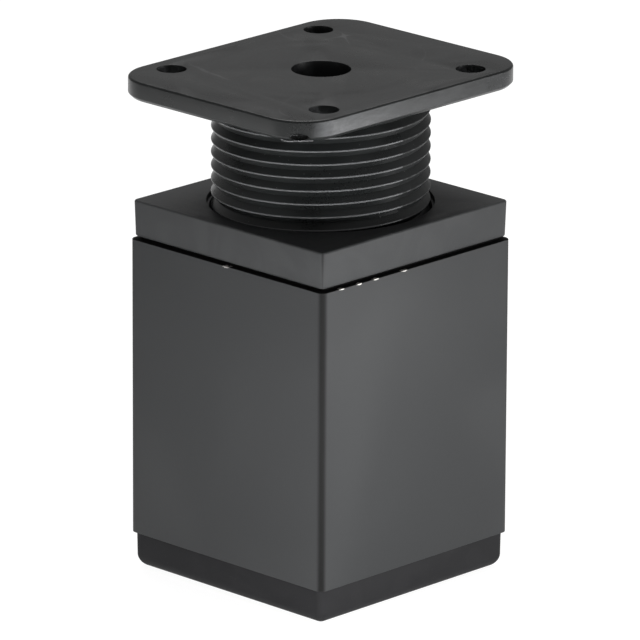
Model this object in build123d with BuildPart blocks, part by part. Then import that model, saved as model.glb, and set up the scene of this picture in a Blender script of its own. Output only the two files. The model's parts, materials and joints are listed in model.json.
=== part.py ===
"""Adjustable furniture leg: a square steel tube on a plastic foot, with a plate that screws in and out.

The leg stands on Z = 0 and is centred on the Z axis. X and Y run along the tube's faces.
"""

import math
import os

from build123d import *

# Driving dimensions, in millimetres and degrees

# Square steel tube
tube_side = 50.0
tube_length = 57.0
tube_wall = 1.5
tube_corner_radius = 1.5
tube_inner_radius = 0.6

# Foot cap: the block that shows below the tube
foot_inset = 0.55
foot_height = 6.8
foot_draft = 1.0
foot_corner_radius = 1.5
foot_base_radius = 2.4
foot_floor = 3.0

# Plugs of the foot cap and of the collar, pushed into the tube
plug_clearance = 0.35
plug_corner_chamfer = 1.0
plug_lead_in = 0.8
grip_clearance = 0.05
grip_thickness = 1.0
grip_count = 3
foot_plug_depth = 12.0
foot_plug_wall = 2.2

# Collar: the threaded insert at the top of the tube
collar_inset = 0.45
collar_height = 6.95
collar_draft = 2.0
collar_corner_radius = 1.0
collar_top_chamfer = 0.25
collar_foot_chamfer = 0.2
collar_gap = 0.55
collar_ledge_inset = 1.3
collar_plug_depth = 10.0
collar_wall = 2.6
collar_mouth_margin = 0.5
collar_mouth_depth = 1.0

# Coarse right-handed thread, moulded on the stub
thread_pitch = 2.5
thread_depth = 1.0
thread_crest_width = 0.15
thread_drop = 0.95
thread_play = 0.3

# Mounting plate with its hollow stub, one moulding
plate_thickness = 3.8
plate_corner_radius = 8.5
plate_top_chamfer = 0.3
plate_under_chamfer = 0.7
plate_turn = 0.4
screw_hole_diameter = 5.5
screw_stub_margin = 4.44
screw_side_margin = 5.45
screw_end_margin = 10.85
centre_hole_diameter = 11.0
stub_length = 31.5
stub_wall = 2.2
stub_pilot_length = 3.0
stub_pilot_clearance = 0.15
stub_lead_in = 1.0
show_of_thread = 21.2
boss_wall = 3.5
boss_depth = 8.0
rib_count = 4
rib_thickness = 1.6
rib_depth = 6.0

# How far the thread's cutting shape reaches past the crests
overcut = 0.05

# Levels and sizes that follow from the dimensions above
tube_inside = tube_side - 2 * tube_wall
tube_top = foot_height + tube_length
plug_side = tube_inside - 2 * plug_clearance
grip_side = tube_inside - 2 * grip_clearance
foot_side = tube_side - 2 * foot_inset
foot_plug_top = foot_height + foot_plug_depth
foot_pocket_side = plug_side - 2 * foot_plug_wall
collar_side = tube_side - 2 * collar_inset
collar_ledge_side = tube_side - 2 * collar_ledge_inset
collar_bottom = tube_top + collar_gap
collar_top = collar_bottom + collar_height
collar_plug_bottom = tube_top - collar_plug_depth
collar_bore_radius = plug_side / 2 - collar_wall
collar_mouth_radius = collar_bore_radius + collar_mouth_margin
crest_radius = collar_bore_radius - thread_play
root_radius = crest_radius - thread_depth
plate_bottom = collar_top + show_of_thread
plate_top = plate_bottom + plate_thickness
screw_circle_radius = crest_radius + screw_stub_margin + screw_hole_diameter / 2
screw_spacing = screw_circle_radius * math.sqrt(2)
plate_width = screw_spacing + 2 * screw_side_margin
plate_length = screw_spacing + 2 * screw_end_margin
stub_end = plate_bottom - stub_length
stub_pilot_radius = root_radius - stub_pilot_clearance
stub_bore_radius = root_radius - stub_wall
boss_radius = centre_hole_diameter / 2 + boss_wall

# Foot cap: a drafted block with a rounded base, and a hollow plug with grip ribs above it
with BuildPart() as foot_cap:
    with BuildSketch(Plane.XY.offset(foot_height)):
        RectangleRounded(foot_side, foot_side, foot_corner_radius)
    extrude(amount=-foot_height, taper=foot_draft)
    fillet(foot_cap.faces().sort_by(Axis.Z)[0].edges(), foot_base_radius)
    with BuildSketch(Plane.XY.offset(foot_height)) as foot_plug:
        Rectangle(plug_side, plug_side)
        chamfer(foot_plug.vertices(), plug_corner_chamfer)
    extrude(amount=foot_plug_depth)
    chamfer(foot_cap.faces().sort_by(Axis.Z)[-1].edges(), plug_lead_in)
    for rib in range(grip_count):
        rib_level = foot_height + foot_plug_depth * (rib + 0.5) / grip_count - grip_thickness / 2
        with BuildSketch(Plane.XY.offset(rib_level)) as grip:
            Rectangle(grip_side, grip_side)
            chamfer(grip.vertices(), plug_corner_chamfer)
        extrude(amount=grip_thickness)
    with BuildSketch(Plane.XY.offset(foot_plug_top)):
        Rectangle(foot_pocket_side, foot_pocket_side)
    extrude(amount=foot_floor - foot_plug_top, mode=Mode.SUBTRACT)

# Tube: cut square at both ends, standing on the shoulder of the foot cap
with BuildPart() as square_tube:
    with BuildSketch(Plane.XY.offset(foot_height)):
        RectangleRounded(tube_side, tube_side, tube_corner_radius)
        RectangleRounded(tube_inside, tube_inside, tube_inner_radius, mode=Mode.SUBTRACT)
    extrude(amount=tube_length)

# Collar: a drafted head, a narrow ledge that sits on the tube's rim, a plug with grip ribs, and a hole
# that is wider than the stub's thread by the play, with a slightly wider mouth
with BuildPart() as collar:
    with BuildSketch(Plane.XY.offset(collar_top)):
        RectangleRounded(collar_side, collar_side, collar_corner_radius)
    extrude(amount=-collar_height, taper=collar_draft)
    chamfer(collar.faces().sort_by(Axis.Z)[-1].edges(), collar_top_chamfer)
    chamfer(collar.faces().sort_by(Axis.Z)[0].edges(), collar_foot_chamfer)
    with BuildSketch(Plane.XY.offset(collar_bottom)):
        RectangleRounded(collar_ledge_side, collar_ledge_side, collar_corner_radius)
    extrude(amount=-collar_gap)
    with BuildSketch(Plane.XY.offset(tube_top)) as collar_plug:
        Rectangle(plug_side, plug_side)
        chamfer(collar_plug.vertices(), plug_corner_chamfer)
    extrude(amount=-collar_plug_depth)
    chamfer(collar.faces().sort_by(Axis.Z)[0].edges(), plug_lead_in)
    for rib in range(grip_count):
        rib_level = tube_top - collar_plug_depth * (rib + 0.5) / grip_count - grip_thickness / 2
        with BuildSketch(Plane.XY.offset(rib_level)) as grip:
            Rectangle(grip_side, grip_side)
            chamfer(grip.vertices(), plug_corner_chamfer)
        extrude(amount=grip_thickness)
    with BuildSketch(Plane.XY.offset(collar_plug_bottom)):
        Circle(collar_bore_radius)
    extrude(amount=collar_top - collar_plug_bottom, mode=Mode.SUBTRACT)
    with BuildSketch(Plane.XY.offset(collar_top)):
        Circle(collar_mouth_radius)
    extrude(amount=-collar_mouth_depth, mode=Mode.SUBTRACT)

# Mounting plate by itself: rounded corners, a fine bevel on top and a wider one below
with BuildPart() as plate:
    with BuildSketch(Plane.XY.offset(plate_bottom).rotated((0, 0, plate_turn))):
        RectangleRounded(plate_width, plate_length, plate_corner_radius)
        with GridLocations(screw_spacing, screw_spacing, 2, 2):
            Circle(screw_hole_diameter / 2, mode=Mode.SUBTRACT)
    extrude(amount=plate_thickness)
    under_edges = plate.faces().sort_by(Axis.Z)[0].outer_wire().edges()
    chamfer(under_edges, plate_under_chamfer)
    top_edges = plate.faces().sort_by(Axis.Z)[-1].outer_wire().edges()
    chamfer(top_edges, plate_top_chamfer)

# Plate and stub: a thick-walled cup with a plain pilot at its end, the helical groove that leaves the
# thread standing, then the plate, the boss of the centre hole and the ribs that stiffen it
groove_turns = math.ceil((stub_length - stub_pilot_length) / thread_pitch) + 2
groove_start = plate_bottom - thread_drop + thread_pitch / 2 - thread_pitch * (groove_turns - 1)
groove_half_mouth = (thread_pitch - thread_crest_width) / 2 * (1 + overcut / thread_depth)
rib_length = stub_bore_radius + stub_wall / 2

with BuildPart() as mounting_plate:
    with BuildSketch(Plane.XZ):
        with BuildLine():
            Polyline(
                (stub_bore_radius, stub_end),
                (stub_pilot_radius, stub_end),
                (stub_pilot_radius, stub_end + stub_pilot_length),
                (crest_radius, stub_end + stub_pilot_length + stub_lead_in),
                (crest_radius, plate_bottom + plate_thickness / 2),
                (stub_bore_radius, plate_bottom + plate_thickness / 2),
                close=True,
            )
        make_face()
    revolve(axis=Axis.Z)
    with BuildLine() as groove_helix:
        for turn in range(groove_turns):
            Helix(
                pitch=thread_pitch,
                height=thread_pitch,
                radius=root_radius,
                center=(0, 0, groove_start + thread_pitch * turn),
            )
    with BuildSketch(Plane.XZ):
        with BuildLine():
            Polyline(
                (root_radius, groove_start),
                (crest_radius + overcut, groove_start - groove_half_mouth),
                (crest_radius + overcut, groove_start + groove_half_mouth),
                close=True,
            )
        make_face()
    sweep(path=groove_helix.wires()[0], is_frenet=True, mode=Mode.SUBTRACT)
    add(plate.part)
    with BuildSketch(Plane.XY.offset(plate_bottom)):
        Circle(boss_radius)
    extrude(amount=-boss_depth)
    with BuildSketch(Plane.XY.offset(plate_bottom)):
        with PolarLocations(rib_length / 2, rib_count):
            Rectangle(rib_length, rib_thickness)
    extrude(amount=-rib_depth)
    with BuildSketch(Plane.XY.offset(plate_top)):
        Circle(centre_hole_diameter / 2)
    extrude(amount=-plate_thickness - boss_depth, mode=Mode.SUBTRACT)

os.makedirs("parts", exist_ok=True)
foot_cap.part.label = "foot_cap"
export_step(foot_cap.part, "parts/foot_cap.step")
square_tube.part.label = "square_tube"
export_step(square_tube.part, "parts/square_tube.step")
collar.part.label = "threaded_collar"
export_step(collar.part, "parts/threaded_collar.step")
mounting_plate.part.label = "mounting_plate"
export_step(mounting_plate.part, "parts/mounting_plate.step")
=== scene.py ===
"""Looks of an adjustable square furniture leg.

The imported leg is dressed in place. Each piece gets softened edges and its finish, and the plate also
gets a nick and a fin of flash at its front corner. A pale floor, soft lamps and a camera complete it.
"""

import json
import logging
import math
from collections.abc import Callable
from dataclasses import dataclass
from enum import Enum
from typing import ClassVar

import bpy
from mathutils import Matrix, Vector

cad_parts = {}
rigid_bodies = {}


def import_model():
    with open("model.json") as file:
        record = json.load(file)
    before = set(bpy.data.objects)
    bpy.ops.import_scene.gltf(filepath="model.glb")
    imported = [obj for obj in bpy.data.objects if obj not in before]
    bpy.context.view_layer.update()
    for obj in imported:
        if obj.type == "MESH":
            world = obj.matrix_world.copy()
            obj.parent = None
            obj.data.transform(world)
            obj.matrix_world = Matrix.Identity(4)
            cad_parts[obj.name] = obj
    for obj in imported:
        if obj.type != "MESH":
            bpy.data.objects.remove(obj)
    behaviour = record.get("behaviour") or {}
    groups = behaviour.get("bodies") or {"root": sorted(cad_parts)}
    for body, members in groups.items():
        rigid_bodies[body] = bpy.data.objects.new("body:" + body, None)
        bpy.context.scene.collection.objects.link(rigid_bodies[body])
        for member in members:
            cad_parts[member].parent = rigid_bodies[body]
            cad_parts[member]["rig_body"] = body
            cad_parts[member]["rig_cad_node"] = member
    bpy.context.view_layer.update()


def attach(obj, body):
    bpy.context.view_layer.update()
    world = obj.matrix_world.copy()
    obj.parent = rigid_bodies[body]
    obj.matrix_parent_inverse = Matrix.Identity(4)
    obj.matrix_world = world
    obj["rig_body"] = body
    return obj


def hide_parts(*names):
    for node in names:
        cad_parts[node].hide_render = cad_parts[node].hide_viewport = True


LOG = logging.getLogger("furniture_leg")
MIDDLE_HEIGHT = 0.05

Socket = bpy.types.NodeSocket
Sockets = bpy.types.NodeOutputs
Colour = tuple[float, float, float]
Place = tuple[float, float, float]
Chipped = tuple[float, float, float, float]


class Body(Enum):
    """The moving bodies of the leg."""

    LEG = "leg"
    PLATE = "plate"


def outward(turn: float, height: float) -> Vector:
    """Gives the direction that leads away from the leg.

    Args:
        turn: Angle round the leg from the X axis, in degrees.
        height: Angle above the floor, in degrees.

    Returns:
        The direction, one long.
    """
    around, above = math.radians(turn), math.radians(height)
    level = math.cos(above)
    return Vector((level * math.cos(around), level * math.sin(around), math.sin(above)))


class NodeSheet:
    """A node tree with short calls for adding and wiring nodes."""

    def __init__(self, tree: bpy.types.NodeTree) -> None:
        """Keeps the tree and empties it."""
        self.tree = tree
        self.tree.nodes.clear()

    def add(self, kind: str, settings: dict[str, object] | None = None,
            values: dict[str | int, object] | None = None) -> bpy.types.Node:
        """Adds a node.

        Args:
            kind: Blender's name of the node type.
            settings: Properties of the node.
            values: Values of its input sockets, by name or number.

        Returns:
            The new node.
        """
        node = self.tree.nodes.new(kind)
        for name, value in (settings or {}).items():
            setattr(node, name, value)
        for name, value in (values or {}).items():
            self.feed(value, node.inputs[name])
        return node

    def wire(self, source: Socket, target: Socket) -> None:
        """Links an output to an input."""
        self.tree.links.new(source, target)

    def feed(self, value: float | tuple | Socket, target: Socket) -> None:
        """Gives an input its value.

        Args:
            value: An output to link, or a plain value to set.
            target: The input.
        """
        if isinstance(value, Socket):
            self.wire(value, target)
        else:
            target.default_value = value

    def place(self) -> Socket:
        """Returns the place on the object."""
        return self.add("ShaderNodeTexCoord").outputs["Object"]

    def facing(self) -> Socket:
        """Returns the direction in which the surface looks."""
        return self.add("ShaderNodeNewGeometry").outputs["Normal"]

    def split(self, vector: Socket) -> Sockets:
        """Returns a vector's parts, named X, Y and Z."""
        return self.add("ShaderNodeSeparateXYZ", values={0: vector}).outputs

    def off_axis(self, place: Socket) -> Socket:
        """Returns a place's distance from the Z axis."""
        flat = self.vector_maths("MULTIPLY", place, (1.0, 1.0, 0.0))
        return self.vector_maths("LENGTH", flat["Vector"])["Value"]

    def noise(self, place: Socket, values: dict[str, float | Socket]) -> Socket:
        """Returns a noise with the given inputs, read at a place."""
        return self.add("ShaderNodeTexNoise", values={"Vector": place, **values}).outputs["Fac"]

    def maths(self, operation: str, *values: float | Socket) -> Socket:
        """Adds a maths node.

        Args:
            operation: Blender's name of the operation.
            values: Numbers or sockets, in the order of the node's inputs.

        Returns:
            The node's result.
        """
        node = self.add("ShaderNodeMath", {"operation": operation}, dict(enumerate(values)))
        return node.outputs[0]

    def vector_maths(self, operation: str, *values: Place | Socket) -> Sockets:
        """Adds a maths node for vectors.

        Args:
            operation: Blender's name of the operation.
            values: Vectors or sockets, in the order of the node's inputs.

        Returns:
            The node's results, named Vector and Value.
        """
        node = self.add("ShaderNodeVectorMath", {"operation": operation}, dict(enumerate(values)))
        return node.outputs

    def product(self, first: Socket, *others: Socket) -> Socket:
        """Multiplies masks.

        Args:
            first: The first mask.
            others: The masks to multiply it by.

        Returns:
            What lies in all of them.
        """
        for other in others:
            first = self.maths("MULTIPLY", first, other)
        return first

    def ramp(self, value: Socket, low: float | Socket, high: float | Socket, out_low: float = 0.0,
             out_high: float | Socket = 1.0, kind: str = "SMOOTHSTEP") -> Socket:
        """Maps a value from one range to another.

        Args:
            value: The value to map.
            low: Value that gives out_low.
            high: Value that gives out_high.
            out_low: Result at low.
            out_high: Result at high.
            kind: Blender's name of the way between them.

        Returns:
            The mapped value.
        """
        values = dict(enumerate((value, low, high, out_low, out_high)))
        return self.add("ShaderNodeMapRange", {"interpolation_type": kind}, values).outputs[0]

    def blend(self, factor: Socket, first: Colour | Socket, second: Colour | Socket) -> Socket:
        """Mixes two colours.

        Args:
            factor: Share of the second colour.
            first: First colour, or a socket that gives it.
            second: Second colour, or a socket that gives it.

        Returns:
            The mixed colour.
        """
        node = self.add("ShaderNodeMix", {"data_type": "RGBA"}, {"Factor": factor})
        ends = [socket for socket in node.inputs if socket.type == "RGBA"]
        for colour, end in zip((first, second), ends):
            self.feed(colour if isinstance(colour, Socket) else (*colour, 1.0), end)
        return next(socket for socket in node.outputs if socket.type == "RGBA")


class PatternGroup:
    """A shader node group with named inputs and outputs, built once and shared by the finishes."""

    name: ClassVar[str] = "pattern"
    inputs: ClassVar[dict[str, float]] = {}
    outputs: ClassVar[tuple[str, ...]] = ("Mask",)
    socket_kind: ClassVar[str] = "NodeSocketFloat"

    def group(self) -> bpy.types.NodeTree:
        """Makes the group on the first call, and finds it again on the next ones.

        Returns:
            The group's tree.
        """
        tree = bpy.data.node_groups.get(self.name)
        if tree is not None:
            return tree
        tree = bpy.data.node_groups.new(self.name, "ShaderNodeTree")
        kind = self.socket_kind
        for name, value in self.inputs.items():
            socket = tree.interface.new_socket(name=name, in_out="INPUT", socket_type=kind)
            socket.default_value = value
        for name in self.outputs:
            tree.interface.new_socket(name=name, in_out="OUTPUT", socket_type=kind)
        sheet = NodeSheet(tree)
        given = sheet.add("NodeGroupInput").outputs
        sheet.add("NodeGroupOutput", values=self.draw(sheet, sheet.place(), given))
        return tree

    def draw(self, sheet: NodeSheet, place: Socket, given: Sockets) -> dict[str, Socket]:
        """Draws the pattern's nodes.

        Args:
            sheet: The group's sheet.
            place: The place on the object.
            given: The group's inputs.

        Returns:
            What each of the group's outputs gives.
        """
        raise NotImplementedError

    def use(self, sheet: NodeSheet, values: dict[str, float]) -> Sockets:
        """Places the group in a material.

        Args:
            sheet: The material's sheet.
            values: Values of the group's inputs.

        Returns:
            The group's results.
        """
        return sheet.add("ShaderNodeGroup", {"node_tree": self.group()}, values).outputs


class FineGrain(PatternGroup):
    """Fine even grain of spray paint or of a spark-eroded mould."""

    name = "fine_grain"
    inputs = {"Scale": 2000.0, "Roughness": 0.6}
    outputs = ("Height", "Tone")
    mean: ClassVar[float] = 0.5

    def draw(self, sheet: NodeSheet, place: Socket, given: Sockets) -> dict[str, Socket]:
        """Draws one fine noise.

        Args:
            sheet: The group's sheet.
            place: The place on the object.
            given: The noise's scale and roughness.

        Returns:
            The noise as a height, and as a tone about zero.
        """
        noise = sheet.noise(place, {"Scale": given["Scale"], "Roughness": given["Roughness"],
                                    "Detail": 3.0})
        return {"Height": noise, "Tone": sheet.maths("SUBTRACT", noise, self.mean)}


class HandlingMarks(PatternGroup):
    """Broad faint clouding and swirls where plastic flowed and hands rubbed."""

    name = "handling_marks"
    inputs = {"Scale": 60.0, "Swirl": 2.5}
    clear: ClassVar[float] = 0.36
    clouded: ClassVar[float] = 0.68

    def draw(self, sheet: NodeSheet, place: Socket, given: Sockets) -> dict[str, Socket]:
        """Draws a warped noise, eased to a soft mask.

        Args:
            sheet: The group's sheet.
            place: The place on the object.
            given: The noise's scale and how much it is warped.

        Returns:
            The mask of the clouds.
        """
        noise = sheet.noise(place, {"Scale": given["Scale"], "Distortion": given["Swirl"],
                                    "Detail": 1.0, "Roughness": 0.5})
        return {"Mask": sheet.ramp(noise, self.clear, self.clouded)}


class DustSpecks(PatternGroup):
    """Sparse pale specks of dust, most of them on faces that look up."""

    name = "dust_specks"
    inputs = {"Scale": 900.0, "Amount": 0.16}
    patch_scale: ClassVar[float] = 140.0
    steep: ClassVar[float] = 0.2
    level: ClassVar[float] = 0.9
    share_on_steep: ClassVar[float] = 0.15

    def draw(self, sheet: NodeSheet, place: Socket, given: Sockets) -> dict[str, Socket]:
        """Draws small round cells, kept only where a coarser noise is high.

        Args:
            sheet: The group's sheet.
            place: The place on the object.
            given: The cells' scale and the size of the specks in them.

        Returns:
            The mask of the specks.
        """
        cells = sheet.add("ShaderNodeTexVoronoi",
                          values={"Vector": place, "Scale": given["Scale"], "Randomness": 1.0})
        patches = sheet.noise(place, {"Scale": self.patch_scale, "Detail": 2.0})
        limit = sheet.maths("MULTIPLY", given["Amount"], patches)
        speck = sheet.maths("LESS_THAN", cells.outputs["Distance"], limit)
        upward = sheet.split(sheet.facing())["Z"]
        settled = sheet.ramp(upward, self.steep, self.level, self.share_on_steep)
        return {"Mask": sheet.product(speck, settled)}


class Chip(PatternGroup):
    """A small ragged place where the coat or the edge is knocked off."""

    name = "chip"
    inputs = {"X": 0.0, "Y": 0.0, "Z": 0.0, "Radius": 0.001, "Grain": 1500.0}
    flattening: ClassVar[Place] = (1.0, 1.0, 4.0)
    falloff: ClassVar[float] = -0.45
    lift: ClassVar[float] = 0.32
    whole: ClassVar[float] = 0.5
    bare: ClassVar[float] = 0.56

    def draw(self, sheet: NodeSheet, place: Socket, given: Sockets) -> dict[str, Socket]:
        """Draws a flattened ball round the chip's place, broken up by noise.

        Args:
            sheet: The group's sheet.
            place: The place on the object.
            given: The chip's place and radius, and the scale of its ragged edge.

        Returns:
            The mask of the chip.
        """
        middle = sheet.add("ShaderNodeCombineXYZ", values={axis: given[axis] for axis in "XYZ"})
        away = sheet.vector_maths("SUBTRACT", place, middle.outputs[0])["Vector"]
        flattened = sheet.vector_maths("MULTIPLY", away, self.flattening)["Vector"]
        gap = sheet.vector_maths("LENGTH", flattened)["Value"]
        share = sheet.maths("DIVIDE", gap, given["Radius"])
        noise = sheet.noise(place, {"Scale": given["Grain"], "Detail": 3.0, "Roughness": 0.7})
        lifted = sheet.maths("ADD", noise, self.lift)
        ragged = sheet.maths("MULTIPLY_ADD", share, self.falloff, lifted)
        return {"Mask": sheet.ramp(ragged, self.whole, self.bare)}


class CrestHighlight(PatternGroup):
    """Painted highlight on the thread's crests, full up to the mould's parting line and broken beyond
    it.
    """

    name = "crest_highlight"
    inputs = {"Crest": 0.02025, "Depth": 0.0001, "Top": 0.0925, "Seam": 0.0007}
    full_depth: ClassVar[float] = 0.4
    outside: ClassVar[tuple[float, float]] = (-0.0002, -0.0001)
    patch_scale: ClassVar[float] = 700.0
    patch_range: ClassVar[tuple[float, float]] = (0.45, 0.7)
    beyond_range: ClassVar[tuple[float, float]] = (0.1, 0.5)
    shelter: ClassVar[tuple[float, float]] = (0.0012, 0.0045)

    def draw(self, sheet: NodeSheet, place: Socket, given: Sockets) -> dict[str, Socket]:
        """Draws what lies near the crest's radius, except close below the plate.

        Args:
            sheet: The group's sheet.
            place: The place on the object.
            given: The crests' radius, the depth of the painted highlight, its top and the parting
                line's place.

        Returns:
            The mask of the painted highlight, full on one half of the mould and faint on the other.
        """
        where = sheet.split(place)
        short = sheet.maths("SUBTRACT", given["Crest"], sheet.off_axis(place))
        depth = sheet.maths("DIVIDE", short, given["Depth"])
        near = sheet.ramp(depth, self.full_depth, 1.0, 1.0, 0.0)
        inside = sheet.ramp(short, *self.outside)
        below = sheet.maths("LESS_THAN", where["Z"], given["Top"])
        patches = sheet.noise(place, {"Scale": self.patch_scale, "Detail": 3.0})
        broken = sheet.ramp(patches, *self.patch_range, *self.beyond_range)
        beyond = sheet.maths("GREATER_THAN", where["Y"], given["Seam"])
        kept = sheet.add("ShaderNodeMix", {"data_type": "FLOAT"}, {0: beyond, 2: 1.0, 3: broken})
        exposed = sheet.ramp(sheet.maths("SUBTRACT", given["Top"], where["Z"]), *self.shelter)
        return {"Mask": sheet.product(near, inside, below, kept.outputs[0], exposed)}


class CornerShade(PatternGroup):
    """Painted shade on the four upright corners of a square piece."""

    name = "corner_shade"
    inputs = {"Start": 0.0236, "Full": 0.0244}

    def draw(self, sheet: NodeSheet, place: Socket, given: Sockets) -> dict[str, Socket]:
        """Draws what is near a corner along both X and Y.

        Args:
            sheet: The group's sheet.
            place: The place on the object.
            given: The distances from the middle at which the shade starts and is full.

        Returns:
            The mask of the painted corner shade.
        """
        where = sheet.split(place)
        nearer = sheet.maths("MINIMUM", *(sheet.maths("ABSOLUTE", where[axis]) for axis in "XY"))
        return {"Mask": sheet.ramp(nearer, given["Start"], given["Full"])}


class FlowLines(PatternGroup):
    """Sparse fine curved lines on faces that look up, left by flowing plastic and light scratches."""

    name = "flow_lines"
    inputs = {"Scale": 48.0, "Width": 0.004}
    contour: ClassVar[float] = 0.5
    patch_scale: ClassVar[float] = 90.0
    patch_range: ClassVar[tuple[float, float]] = (0.47, 0.62)
    level: ClassVar[float] = 0.9

    def draw(self, sheet: NodeSheet, place: Socket, given: Sockets) -> dict[str, Socket]:
        """Draws a thin contour of a smooth noise, kept only in a few patches.

        Args:
            sheet: The group's sheet.
            place: The place on the object.
            given: The noise's scale and the width of its contour.

        Returns:
            The mask of the lines.
        """
        noise = sheet.noise(place, {"Scale": given["Scale"], "Detail": 0.0, "Distortion": 0.8})
        off_line = sheet.maths("ABSOLUTE", sheet.maths("SUBTRACT", noise, self.contour))
        line = sheet.maths("LESS_THAN", off_line, given["Width"])
        patches = sheet.noise(place, {"Scale": self.patch_scale, "Detail": 3.0})
        flat = sheet.maths("GREATER_THAN", sheet.split(sheet.facing())["Z"], self.level)
        return {"Mask": sheet.product(line, sheet.ramp(patches, *self.patch_range), flat)}


class SideHighlight(PatternGroup):
    """Painted highlight along one side of the plate, strong at its front corner and fainter behind."""

    name = "side_highlight"
    inputs = {"Under": 0.0925, "Start": -0.0235, "End": -0.002, "Least": 0.3}
    facing_range: ClassVar[tuple[float, float]] = (0.8, 0.97)
    stretch: ClassVar[Place] = (1.0, 0.35, 1.6)
    smear_scale: ClassVar[float] = 900.0
    smear_roughness: ClassVar[float] = 0.6
    smear_range: ClassVar[tuple[float, float]] = (0.3, 0.7)
    faintest: ClassVar[float] = 0.55

    def draw(self, sheet: NodeSheet, place: Socket, given: Sockets) -> dict[str, Socket]:
        """Draws the painted highlight as long smears on the upright face that looks along X.

        Args:
            sheet: The group's sheet.
            place: The place on the object.
            given: The plate's underside, the painted highlight's start and end along Y, and its share
                there.

        Returns:
            The mask of the painted highlight.
        """
        where = sheet.split(place)
        side = sheet.ramp(sheet.split(sheet.facing())["X"], *self.facing_range)
        above = sheet.maths("GREATER_THAN", where["Z"], given["Under"])
        stretched = sheet.vector_maths("MULTIPLY", place, self.stretch)["Vector"]
        smears = sheet.noise(stretched, {"Scale": self.smear_scale, "Detail": 4.0,
                                         "Roughness": self.smear_roughness})
        broken = sheet.ramp(smears, *self.smear_range, self.faintest)
        fading = sheet.ramp(where["Y"], given["Start"], given["End"], 1.0, given["Least"], "LINEAR")
        return {"Mask": sheet.product(side, above, broken, fading)}


class SinkRing(PatternGroup):
    """A faint ring on the plate's top, where the thick wall of the stub drew the plastic in."""

    name = "sink_ring"
    inputs = {"Inner": 0.016, "Outer": 0.0205, "Level": 0.096}
    outputs = ("Depth",)
    middle: ClassVar[float] = 0.5

    def draw(self, sheet: NodeSheet, place: Socket, given: Sockets) -> dict[str, Socket]:
        """Draws a soft trough between two radii, on the top face alone.

        Args:
            sheet: The group's sheet.
            place: The place on the object.
            given: The ring's inner and outer radius, and a level just below the top face.

        Returns:
            The trough's share of its full depth.
        """
        span = sheet.maths("SUBTRACT", given["Outer"], given["Inner"])
        past_inner = sheet.maths("SUBTRACT", sheet.off_axis(place), given["Inner"])
        along = sheet.maths("DIVIDE", past_inner, span)
        off_middle = sheet.maths("ABSOLUTE", sheet.maths("SUBTRACT", along, self.middle))
        on_top = sheet.maths("GREATER_THAN", sheet.split(place)["Z"], given["Level"])
        return {"Depth": sheet.product(sheet.ramp(off_middle, 0.0, self.middle, 1.0, 0.0), on_top)}


@dataclass
class Coat:
    """What a finish feeds to its shader, changed mark by mark."""

    colour: Socket
    roughness: Socket
    metal: float | Socket = 0.0

    def mark(self, sheet: NodeSheet, mask: Socket, colour: Colour, duller: float = 0.0) -> None:
        """Lays a mark over the coat.

        Args:
            sheet: The material's sheet.
            mask: Where the mark is.
            colour: The mark's colour.
            duller: What the mark adds to the roughness.
        """
        self.colour = sheet.blend(mask, self.colour, colour)
        if duller:
            self.roughness = sheet.maths("MULTIPLY_ADD", mask, duller, self.roughness)


@dataclass(frozen=True)
class Finish:
    """A dark surface with a fine grain, faint clouding and a little dust."""

    name: str
    slot: str
    colour: Colour
    cloud_colour: Colour
    roughness: float
    cloud_roughness: float
    specular: float
    grain_scale: float
    grain_height: float
    grain_tone: float
    cloud_scale: float
    swirl: float
    dust_amount: float
    dust_colour: Colour = (0.12, 0.12, 0.12)

    def material(self) -> bpy.types.Material:
        """Builds the finish as a material.

        Returns:
            The material.
        """
        material = bpy.data.materials.new(self.name)
        material.use_nodes = True
        sheet = NodeSheet(material.node_tree)
        grain = FineGrain().use(sheet, {"Scale": self.grain_scale})
        marks = HandlingMarks().use(sheet, {"Scale": self.cloud_scale, "Swirl": self.swirl})
        dust = DustSpecks().use(sheet, {"Amount": self.dust_amount})["Mask"]
        clouded = sheet.blend(marks["Mask"], self.colour, self.cloud_colour)
        rough = sheet.maths("MULTIPLY_ADD", marks["Mask"], self.cloud_roughness, self.roughness)
        coat = Coat(sheet.blend(dust, clouded, self.dust_colour),
                    sheet.maths("MULTIPLY_ADD", grain["Tone"], self.grain_tone, rough))
        self.add_marks(sheet, coat)
        bump = sheet.add("ShaderNodeBump",
                         values={"Distance": self.grain_height, "Height": grain["Height"]})
        self.add_form(sheet, bump)
        shader = sheet.add("ShaderNodeBsdfPrincipled", values={
            "Base Color": coat.colour,
            "Roughness": coat.roughness,
            "Metallic": coat.metal,
            "Specular IOR Level": self.specular,
            "Normal": bump.outputs["Normal"],
        })
        sheet.add("ShaderNodeOutputMaterial", values={"Surface": shader.outputs[0]})
        return material

    def add_marks(self, sheet: NodeSheet, coat: Coat) -> None:
        """Lays the piece's own marks over the coat; here there are none."""

    def add_form(self, sheet: NodeSheet, bump: bpy.types.Node) -> None:
        """Adds shallow forms below the grain; here there are none."""


@dataclass(frozen=True)
class MouldedPlastic(Finish):
    """Black moulded plastic."""

    roughness: float = 0.5
    cloud_roughness: float = 0.08
    specular: float = 0.4
    grain_scale: float = 1900.0
    grain_height: float = 0.000012
    grain_tone: float = 0.12
    cloud_scale: float = 70.0
    swirl: float = 2.5
    dust_amount: float = 0.12


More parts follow.
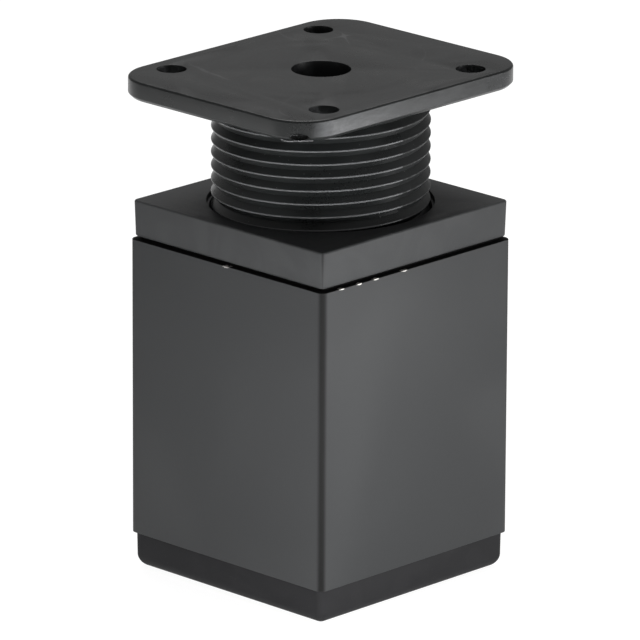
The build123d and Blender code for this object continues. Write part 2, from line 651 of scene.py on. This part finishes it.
@dataclass(frozen=True)
class CollarPlastic(MouldedPlastic):
    """The collar's plastic with painted shade on its corners and in the gap over the tube's rim."""

    gap_top: float = 0.06435
    # Painted shade on the ledge in the gap above the tube's rim, with its roughness.
    gap_shade_colour: Colour = (0.003, 0.003, 0.003)
    gap_shade_roughness: float = 0.4
    corner_start: float = 0.0239
    corner_full: float = 0.0243
    # Painted shade on the upright corners.
    corner_shade_colour: Colour = (0.008, 0.008, 0.008)

    def add_marks(self, sheet: NodeSheet, coat: Coat) -> None:
        """Paints shade on the upright corners and on the ledge in the gap.

        Args:
            sheet: The material's sheet.
            coat: The coat to change.
        """
        shade = CornerShade().use(sheet, {"Start": self.corner_start, "Full": self.corner_full})
        in_gap = sheet.maths("LESS_THAN", sheet.split(sheet.place())["Z"], self.gap_top)
        # Painted shade on the corners, then painted shade in the gap above the tube's rim.
        coat.mark(sheet, shade["Mask"], self.corner_shade_colour)
        coat.mark(sheet, in_gap, self.gap_shade_colour, self.gap_shade_roughness)


@dataclass(frozen=True)
class PlatePlastic(MouldedPlastic):
    """The plate's plastic, with painted highlights on its crests and along one side, painted shade in
    its nick, and marks from the mould.
    """

    ring_depth: float = 0.00006
    ring_inner: float = 0.0155
    ring_outer: float = 0.0205
    top_level: float = 0.096
    under_level: float = 0.0925
    seam_place: float = 0.0007
    duller_beyond: float = 0.2
    # Painted highlight on the thread's crests.
    crest_highlight_colour: Colour = (0.085, 0.087, 0.09)
    crest_polish: float = -0.05
    # Painted highlight along the plate's side, strongest at its front corner.
    side_highlight_colour: Colour = (0.075, 0.077, 0.08)
    line_colour: Colour = (0.045, 0.046, 0.047)
    nick_place: Place = (0.0220, -0.0281, 0.0932)
    nick_radius: float = 0.003
    # Painted shade inside the nick, which is a recess.
    nick_shade_colour: Colour = (0.001, 0.001, 0.001)
    nick_roughness: float = 0.5

    def add_marks(self, sheet: NodeSheet, coat: Coat) -> None:
        """Paints highlights on the crests and along the side, lays flow lines, paints shade in the
        nick, and dulls the thread beyond the parting line.

        Args:
            sheet: The material's sheet.
            coat: The coat to change.
        """
        crest_highlight_mask = CrestHighlight().use(sheet, {"Top": self.under_level, "Seam": self.seam_place})["Mask"]
        lines = FlowLines().use(sheet, {})["Mask"]
        side_highlight_mask = SideHighlight().use(sheet, {"Under": self.under_level})["Mask"]
        nick_form = (*self.nick_place, self.nick_radius)
        nick = Chip().use(sheet, dict(zip(Chip.inputs, nick_form)))["Mask"]
        # Painted highlight on the thread's crests.
        coat.mark(sheet, crest_highlight_mask, self.crest_highlight_colour, self.crest_polish)
        coat.mark(sheet, lines, self.line_colour)
        # Painted highlight along the plate's side, strongest at its front corner.
        coat.mark(sheet, side_highlight_mask, self.side_highlight_colour)
        # Painted shade inside the nick.
        coat.mark(sheet, nick, self.nick_shade_colour, self.nick_roughness)
        where = sheet.split(sheet.place())
        beyond = sheet.product(sheet.maths("GREATER_THAN", where["Y"], self.seam_place),
                               sheet.maths("LESS_THAN", where["Z"], self.under_level))
        coat.roughness = sheet.maths("MULTIPLY_ADD", beyond, self.duller_beyond, coat.roughness)

    def add_form(self, sheet: NodeSheet, bump: bpy.types.Node) -> None:
        """Lays the sink ring under the grain.

        Args:
            sheet: The material's sheet.
            bump: The grain's bump node.
        """
        ring = SinkRing().use(sheet, {"Inner": self.ring_inner, "Outer": self.ring_outer,
                                      "Level": self.top_level})
        trough = sheet.add("ShaderNodeBump", {"invert": True},
                           {"Distance": self.ring_depth, "Height": ring["Depth"]})
        sheet.wire(trough.outputs["Normal"], bump.inputs["Normal"])


@dataclass(frozen=True)
class PaintedSteel(Finish):
    """Matt black spray paint on steel, knocked off in a few small places at the rim, with painted
    shade on the upright corners and on the rim under the collar.
    """

    colour: Colour = (0.032, 0.033, 0.034)
    cloud_colour: Colour = (0.039, 0.04, 0.041)
    roughness: float = 0.42
    cloud_roughness: float = 0.04
    specular: float = 0.12
    grain_scale: float = 1300.0
    grain_height: float = 0.000016
    grain_tone: float = 0.1
    cloud_scale: float = 24.0
    swirl: float = 0.6
    dust_amount: float = 0.09
    chips: tuple[Chipped, ...] = ()
    # Painted shade on the upright corners.
    corner_shade_colour: Colour = (0.009, 0.009, 0.009)
    steel_colour: Colour = (0.4, 0.39, 0.37)
    steel_polish: float = -0.08
    # Painted shade on the rim in the gap under the collar, above this level.
    rim_level: float = 0.06377
    rim_shade_colour: Colour = (0.003, 0.003, 0.003)
    rim_roughness: float = 0.4

    def add_marks(self, sheet: NodeSheet, coat: Coat) -> None:
        """Paints shade on the corners and on the rim under the collar, and bares the steel in the
        chips.

        Args:
            sheet: The material's sheet.
            coat: The coat to change.
        """
        rim = sheet.maths("GREATER_THAN", sheet.split(sheet.place())["Z"], self.rim_level)
        # Painted shade on the upright corners and on the rim in the gap under the collar.
        coat.mark(sheet, CornerShade().use(sheet, {})["Mask"], self.corner_shade_colour)
        coat.mark(sheet, rim, self.rim_shade_colour, self.rim_roughness)
        for chip in self.chips:
            bare = Chip().use(sheet, dict(zip(Chip.inputs, chip)))["Mask"]
            coat.mark(sheet, bare, self.steel_colour, self.steel_polish)
            coat.metal = sheet.maths("MAXIMUM", coat.metal, bare)


@dataclass
class SoftenedPiece:
    """One moulding or tube of the leg, with its sharp edges softened to a small radius."""

    name: str
    node: str
    body: Body
    edge_radius: float
    edge_steps: int = 3
    sharp_angle: float = 28.0
    flat_angle: float = 0.3
    weld: float = 0.000002
    lowest: float = -1.0
    highest: float = 1.0

    def shape(self) -> bpy.types.Object:
        """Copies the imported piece, softens its edges and damages it.

        Returns:
            The finished object, at the origin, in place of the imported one.
        """
        piece = self.copy_packed()
        self.weigh_edges()
        self.ease_edges(piece)
        bevel = piece.modifiers.new("softened_edges", "BEVEL")
        bevel.width = self.edge_radius
        bevel.segments = self.edge_steps
        bevel.limit_method = "WEIGHT"
        bevel.miter_outer = "MITER_ARC"
        bevel.use_clamp_overlap = False
        bevel.loop_slide = False
        bpy.ops.object.modifier_apply(modifier=bevel.name)
        self.damage(piece)
        bpy.ops.object.shade_smooth_by_angle(angle=math.radians(self.sharp_angle))
        return piece

    def copy_packed(self) -> bpy.types.Object:
        """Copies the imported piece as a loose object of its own.

        Returns:
            The copy, active and selected.
        """
        bpy.ops.object.select_all(action="DESELECT")
        packed = bpy.data.objects[self.node]
        packed.select_set(True)
        bpy.context.view_layer.objects.active = packed
        bpy.ops.object.duplicate()
        piece = bpy.context.view_layer.objects.active
        bpy.ops.object.parent_clear(type="CLEAR_KEEP_TRANSFORM")
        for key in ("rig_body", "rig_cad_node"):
            del piece[key]
        piece.name = self.name
        piece.data.name = self.name
        return piece

    def weigh_edges(self) -> None:
        """Welds the active object, joins flat facets, and marks sharp edges for the bevel."""
        bpy.ops.object.mode_set(mode="EDIT")
        bpy.ops.mesh.select_all(action="SELECT")
        bpy.ops.mesh.remove_doubles(threshold=self.weld)
        bpy.ops.mesh.customdata_custom_splitnormals_clear()
        bpy.ops.mesh.select_all(action="SELECT")
        bpy.ops.mesh.dissolve_limited(angle_limit=math.radians(self.flat_angle))
        bpy.ops.mesh.select_mode(type="EDGE")
        bpy.ops.mesh.select_all(action="DESELECT")
        bpy.ops.mesh.edges_select_sharp(sharpness=math.radians(self.sharp_angle))
        bpy.ops.transform.edge_bevelweight(value=1.0)
        bpy.ops.object.mode_set(mode="OBJECT")

    def reweigh(self, piece: bpy.types.Object, chosen: Callable[[Vector], bool],
                change: float) -> None:
        """Changes the bevel weight of some of the selected edges, which alone stay selected.

        Args:
            piece: The active object.
            chosen: Tells from an edge's middle whether it is one of them.
            change: What is added to their weight.
        """
        mesh = piece.data
        for edge in mesh.edges:
            first, second = (mesh.vertices[index].co for index in edge.vertices)
            edge.select = edge.select and chosen((first + second) / 2)
        bpy.ops.object.mode_set(mode="EDIT")
        bpy.ops.transform.edge_bevelweight(value=change)
        bpy.ops.object.mode_set(mode="OBJECT")

    def ease_edges(self, piece: bpy.types.Object) -> None:
        """Leaves the edges sharp that are hidden inside the tube."""
        self.reweigh(piece, lambda middle: not self.lowest <= middle.z <= self.highest, -1.0)

    def damage(self, piece: bpy.types.Object) -> None:
        """Knocks small pieces out of the moulding; here it stays whole."""

    def dress(self, piece: bpy.types.Object, finish: Finish) -> None:
        """Gives the piece its finish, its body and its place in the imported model.

        Args:
            piece: The shaped object.
            finish: The finish that it takes.
        """
        piece.data.materials.clear()
        piece.data.materials.append(finish.material())
        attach(piece, self.body.value)
        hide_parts(self.node)
        LOG.info("%s: %d faces, finish %s", piece.name, len(piece.data.polygons), finish.name)


@dataclass
class ThreadedPiece(SoftenedPiece):
    """The plate with its threaded stub, whose narrow crests take a radius of their own."""

    thread_radius: float = 0.00007
    thread_inside: float = 0.0185
    root_radius: float = 0.0197
    thread_top: float = 0.0924
    nick_place: Place = (0.0220, -0.0281, 0.0933)
    nick_size: Place = (0.0012, 0.0017, 0.00075)
    nick_turn: float = -45.7
    nick_steps: int = 3
    nick_raggedness: float = 0.0001
    nick_seed: int = 4

    def ease_edges(self, piece: bpy.types.Object) -> None:
        """Softens the thread's crests to their own radius, and leaves its root sharp.

        Args:
            piece: The active object.
        """
        def on_thread(middle: Vector) -> bool:
            """Tells whether an edge belongs to the thread."""
            radius = math.hypot(middle.x, middle.y)
            return radius > self.thread_inside and middle.z < self.thread_top

        def at_root(middle: Vector) -> bool:
            """Tells whether an edge of the thread lies at its root."""
            return math.hypot(middle.x, middle.y) < self.root_radius

        self.reweigh(piece, on_thread, self.thread_radius / self.edge_radius - 1.0)
        self.reweigh(piece, at_root, -1.0)

    def damage(self, piece: bpy.types.Object) -> None:
        """Knocks a ragged nick out of the plate's lower edge at its front corner.

        Args:
            piece: The plate.
        """
        bpy.ops.object.select_all(action="DESELECT")
        bpy.ops.mesh.primitive_ico_sphere_add(subdivisions=self.nick_steps, radius=1.0,
                                              location=self.nick_place,
                                              rotation=(0.0, 0.0, math.radians(self.nick_turn)))
        cutter = bpy.context.object
        cutter.scale = self.nick_size
        bpy.ops.object.transform_apply(location=False, rotation=True, scale=True)
        bpy.ops.object.mode_set(mode="EDIT")
        bpy.ops.mesh.select_all(action="SELECT")
        bpy.ops.transform.vertex_random(offset=self.nick_raggedness, seed=self.nick_seed)
        bpy.ops.object.mode_set(mode="OBJECT")
        bpy.ops.object.select_all(action="DESELECT")
        piece.select_set(True)
        bpy.context.view_layer.objects.active = piece
        nick = piece.modifiers.new("nick", "BOOLEAN")
        nick.operation = "DIFFERENCE"
        nick.object = cutter
        bpy.ops.object.modifier_apply(modifier=nick.name)
        bpy.data.objects.remove(cutter, do_unlink=True)


@dataclass(frozen=True)
class Wave:
    """A sine wave."""

    size: float
    speed: float
    start: float = 0.0

    def at(self, place: float) -> float:
        """Returns the wave's height at a place."""
        return self.size * math.sin(self.speed * place + self.start)


@dataclass
class EdgeFlash:
    """A thin ragged fin of flash along the plate's lower edge, below its front corner."""

    corner_x: float = 0.01635
    corner_y: float = -0.02175
    radius: float = 0.0079
    first_turn: float = -73.0
    last_turn: float = -30.0
    top: float = 0.09262
    reach: float = 0.0002
    lip: float = 0.00018
    thickness: float = 0.00014
    steps: int = 40
    mean_fray: float = 0.45
    long_fray: Wave = Wave(0.4, 5.5, 0.6)
    short_fray: Wave = Wave(0.15, 23.0)
    sway: Wave = Wave(0.00012, 17.0)
    end_slope: float = 12.0
    sharp_angle: float = 35.0

    def bent(self, across: float, up: float) -> Place:
        """Bends a point of a flat grid round the corner and frays the lower edge.

        Args:
            across: The point's place along the fin, from -1 to 1.
            up: Its place up the fin, from -1 to 1.

        Returns:
            Its place on the fin.
        """
        along, down = (across + 1.0) / 2.0, (1.0 - up) / 2.0
        turn = math.radians(self.first_turn + (self.last_turn - self.first_turn) * along)
        frayed = self.mean_fray + self.long_fray.at(along) + self.short_fray.at(along * along)
        fade = min(1.0, self.end_slope * along, self.end_slope * (1.0 - along))
        out = self.radius + down * self.sway.at(along)
        return (self.corner_x + out * math.cos(turn), self.corner_y + out * math.sin(turn),
                self.top - self.reach * fade * frayed - self.lip * down)

    def shape(self) -> bpy.types.Object:
        """Bends a fine grid to the fin's form and thickens it.

        Returns:
            The fin, at the origin.
        """
        bpy.ops.object.select_all(action="DESELECT")
        bpy.ops.mesh.primitive_grid_add(x_subdivisions=self.steps, y_subdivisions=2, size=2.0)
        fin = bpy.context.object
        fin.name = "edge_flash"
        for vertex in fin.data.vertices:
            vertex.co = self.bent(vertex.co.x, vertex.co.y)
        wall = fin.modifiers.new("wall", "SOLIDIFY")
        wall.thickness = self.thickness
        wall.offset = 0.0
        bpy.ops.object.modifier_apply(modifier=wall.name)
        bpy.ops.object.mode_set(mode="EDIT")
        bpy.ops.mesh.select_all(action="SELECT")
        bpy.ops.mesh.normals_make_consistent(inside=False)
        bpy.ops.object.mode_set(mode="OBJECT")
        bpy.ops.object.shade_smooth_by_angle(angle=math.radians(self.sharp_angle))
        return fin

    def dress(self, fin: bpy.types.Object, finish: Finish) -> None:
        """Gives the fin its finish and hangs it on the plate.

        Args:
            fin: The shaped fin.
            finish: The finish that it takes.
        """
        fin.data.materials.append(finish.material())
        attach(fin, Body.PLATE.value)
        LOG.info("%s: %d faces, finish %s", fin.name, len(fin.data.polygons), finish.name)


@dataclass
class FurnitureLeg:
    """The whole leg: foot cap, square tube, threaded collar and mounting plate."""

    foot_edge: float = 0.00015
    tube_edge: float = 0.0001
    collar_edge: float = 0.00012
    plate_edge: float = 0.00012
    shoulder: float = 0.0069
    rim: float = 0.0637
    chips: tuple[Chipped, ...] = (
        (0.0003, -0.0250, 0.06375, 0.0012),
        (0.0250, -0.0200, 0.06375, 0.0010),
        (0.0250, -0.0153, 0.06375, 0.0011),
        (0.0250, -0.0110, 0.06375, 0.0012),
        (0.0250, -0.0036, 0.06375, 0.0010),
    )
    foot_finish: Finish = MouldedPlastic(
        "foot_black", "foot_plastic", (0.014, 0.014, 0.015), (0.018, 0.018, 0.019),
        roughness=0.55, specular=0.1)
    collar_finish: Finish = CollarPlastic(
        "collar_black", "collar_plastic", (0.033, 0.034, 0.035), (0.04, 0.041, 0.042),
        roughness=0.45, specular=0.15)
    plate_finish: Finish = PlatePlastic(
        "plate_black", "plate_plastic", (0.0074, 0.0081, 0.0082), (0.0108, 0.0118, 0.0119),
        roughness=0.28, cloud_roughness=0.1, specular=0.3, grain_height=0.000004,
        cloud_scale=60.0, swirl=1.8)
    # The fin is modelled flash; its pale colour is a painted highlight of the bright line along the
    # plate's lower edge.
    flash_highlight_finish: Finish = MouldedPlastic(
        "flash_pale_highlight", "plate_plastic", (0.1, 0.1, 0.103), (0.14, 0.14, 0.143), roughness=0.4)

    def build(self) -> None:
        """Shapes and dresses the four pieces and the fin of flash."""
        foot = SoftenedPiece("foot_moulding", "foot_cap", Body.LEG, self.foot_edge,
                             highest=self.shoulder)
        foot.dress(foot.shape(), self.foot_finish)
        tube = SoftenedPiece("tube_painted", "square_tube", Body.LEG, self.tube_edge)
        tube.dress(tube.shape(), PaintedSteel("tube_black", "tube_paint", chips=self.chips))
        collar = SoftenedPiece("collar_moulding", "threaded_collar", Body.LEG, self.collar_edge,
                               lowest=self.rim)
        collar.dress(collar.shape(), self.collar_finish)
        plate = ThreadedPiece("plate_moulding", "mounting_plate", Body.PLATE, self.plate_edge)
        plate.dress(plate.shape(), self.plate_finish)
        flash = EdgeFlash()
        flash.dress(flash.shape(), self.flash_highlight_finish)


@dataclass
class PhotoCamera:
    """A long lens at the photograph's viewing angle."""

    distance: float = 1.5
    turn: float = -45.725
    height: float = 17.194
    roll: float = 0.27
    aims_at: float = 0.04803
    lens: float = 455.68
    sensor: float = 36.0
    nearest: float = 0.05
    farthest: float = 50.0

    def place(self) -> None:
        """Adds the camera and makes it the scene's."""
        eye = Vector((0.0, 0.0, MIDDLE_HEIGHT)) + outward(self.turn, self.height) * self.distance
        forward = (Vector((0.0, 0.0, self.aims_at)) - eye).normalized()
        level_right = forward.cross(Vector((0.0, 0.0, 1.0))).normalized()
        level_up = level_right.cross(forward)
        roll = math.radians(self.roll)
        right = level_right * math.cos(roll) + level_up * math.sin(roll)
        up = level_up * math.cos(roll) - level_right * math.sin(roll)
        bpy.ops.object.camera_add(location=eye)
        camera = bpy.context.object
        camera.name = "photo_camera"
        camera.data.lens = self.lens
        camera.data.sensor_width = self.sensor
        camera.data.clip_start = self.nearest
        camera.data.clip_end = self.farthest
        turned = Matrix((right, up, -forward)).transposed().to_4x4()
        camera.matrix_world = Matrix.Translation(eye) @ turned
        bpy.context.scene.camera = camera


@dataclass(frozen=True)
class SoftLamp:
    """A soft box aimed at the leg, which the camera doesn't see."""

    name: str
    turn: float
    height: float
    distance: float
    width: float
    tall: float
    power: float
    mirrored: bool = True

    def light(self) -> None:
        """Adds the lamp, facing the middle of the leg."""
        away = outward(self.turn, self.height)
        eye = Vector((0.0, 0.0, MIDDLE_HEIGHT)) + away * self.distance
        bpy.ops.object.light_add(type="AREA", location=eye)
        lamp = bpy.context.object
        lamp.name = self.name
        lamp.data.shape = "RECTANGLE"
        lamp.data.size = self.width
        lamp.data.size_y = self.tall
        lamp.data.energy = self.power
        lamp.rotation_euler = (-away).to_track_quat("-Z", "Y").to_euler()
        lamp.visible_camera = False
        lamp.visible_glossy = self.mirrored


@dataclass
class Studio:
    """A pale floor, soft lamps and an even grey surround."""

    floor_radius: float = 4.0
    floor_sides: int = 96
    floor_level: float = -0.00005
    floor_grey: float = 0.8
    shown_grey: float = 0.2
    shown_glow: float = 0.9
    surround: float = 0.28
    lamps: tuple[SoftLamp, ...] = (
        SoftLamp("right_box", 33.0, 6.0, 1.0, 0.5, 0.24, 2.35),
        SoftLamp("front_right_box", -31.5, -5.0, 0.17, 0.1, 0.05, 0.24, mirrored=False),
        SoftLamp("front_left_box", -60.0, -5.0, 0.17, 0.1, 0.05, 0.16, mirrored=False),
        SoftLamp("right_strip", 30.0, -6.0, 0.19, 0.06, 0.05, 0.07),
        SoftLamp("left_strip", -120.0, -6.0, 0.19, 0.06, 0.05, 0.012),
        SoftLamp("left_box", -105.0, 10.0, 0.8, 0.3, 0.2, 0.08),
        SoftLamp("top_box", 135.0, 62.0, 1.0, 0.6, 0.6, 6.2),
    )

    def build(self) -> None:
        """Lays the floor, lights the surround and hangs the lamps."""
        bpy.ops.mesh.primitive_circle_add(vertices=self.floor_sides, radius=self.floor_radius,
                                          fill_type="NGON", location=(0.0, 0.0, self.floor_level))
        floor = bpy.context.object
        floor.name = "studio_floor"
        floor.data.materials.append(self.floor_material())
        self.light_surround()
        for lamp in self.lamps:
            lamp.light()

    def floor_material(self) -> bpy.types.Material:
        """Makes a matt pale floor that shows as white and keeps a shadow.

        Returns:
            The floor's material.
        """
        material = bpy.data.materials.new("pale_floor")
        material.use_nodes = True
        sheet = NodeSheet(material.node_tree)
        greys = ((grey, grey, grey, 1.0) for grey in (self.floor_grey, self.shown_grey))
        matt, shadow = (sheet.add("ShaderNodeBsdfDiffuse", values={"Color": grey}) for grey in greys)
        white = sheet.add("ShaderNodeEmission",
                          values={"Color": (1.0, 1.0, 1.0, 1.0), "Strength": self.shown_glow})
        shown = sheet.add("ShaderNodeAddShader", values={0: shadow.outputs[0], 1: white.outputs[0]})
        choice = sheet.add("ShaderNodeMixShader", values={
            0: self.seen_directly(sheet), 1: matt.outputs[0], 2: shown.outputs[0]})
        sheet.add("ShaderNodeOutputMaterial", values={"Surface": choice.outputs[0]})
        return material

    def seen_directly(self, sheet: NodeSheet) -> Socket:
        """Finds what is seen, and not lit by.

        Args:
            sheet: The floor's sheet.

        Returns:
            A mask that is 1 for rays from the camera, mirrors and glass.
        """
        path = sheet.add("ShaderNodeLightPath").outputs
        mirrored = sheet.maths("MAXIMUM", path["Is Camera Ray"], path["Is Glossy Ray"])
        return sheet.maths("MAXIMUM", mirrored, path["Is Transmission Ray"])

    def light_surround(self) -> None:
        """Makes the world an even soft light."""
        world = bpy.data.worlds.new("grey_surround")
        bpy.context.scene.world = world
        world.use_nodes = True
        sheet = NodeSheet(world.node_tree)
        glow = sheet.add("ShaderNodeBackground",
                         values={"Color": (1.0, 1.0, 1.0, 1.0), "Strength": self.surround})
        sheet.add("ShaderNodeOutputWorld", values={"Surface": glow.outputs[0]})


def main() -> None:
    """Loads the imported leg, dresses it, and sets up the studio and the camera."""
    logging.basicConfig(level=logging.INFO, format="%(name)s: %(message)s")
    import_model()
    bpy.context.scene.view_settings.view_transform = "Standard"
    FurnitureLeg().build()
    Studio().build()
    PhotoCamera().place()


if __name__ == "__main__":
    main()
